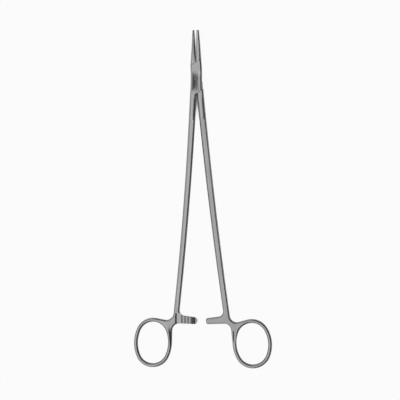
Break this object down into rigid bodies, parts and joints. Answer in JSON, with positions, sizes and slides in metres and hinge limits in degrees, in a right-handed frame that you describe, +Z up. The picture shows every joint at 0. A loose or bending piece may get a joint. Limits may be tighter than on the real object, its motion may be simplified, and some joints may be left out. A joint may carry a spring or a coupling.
{
  "type": "surgical needle holder",
  "caption": "Long slender box-lock needle holder with serrated jaws, bowed shanks, interlocking ratchet bars and finger rings.",
  "frame": {"origin": "where the axis of the pivot pin meets the plane that the back of the box rests on", "axes": "+Y along the closing line to the jaw tips, +Z up along the pivot pin out of the resting plane, +X to the side of the female jaw"},
  "size_m": [0.1057, 0.2603, 0.005],
  "materials": {
    "satin_steel": "satin",
    "pin_steel": "satin"
  },
  "bodies": {
    "root": {"female_half": "satin_steel", "pivot_pin": "pin_steel"},
    "male": {"male_half": "satin_steel"}
  },
  "joints": [
    {"name": "box_lock", "type": "hinge", "parent": "root", "child": "male", "pos_m": [0, 0, 0.0025], "axis": [0, 0, 1], "range_deg": [-2.25, 52]}
  ]
}
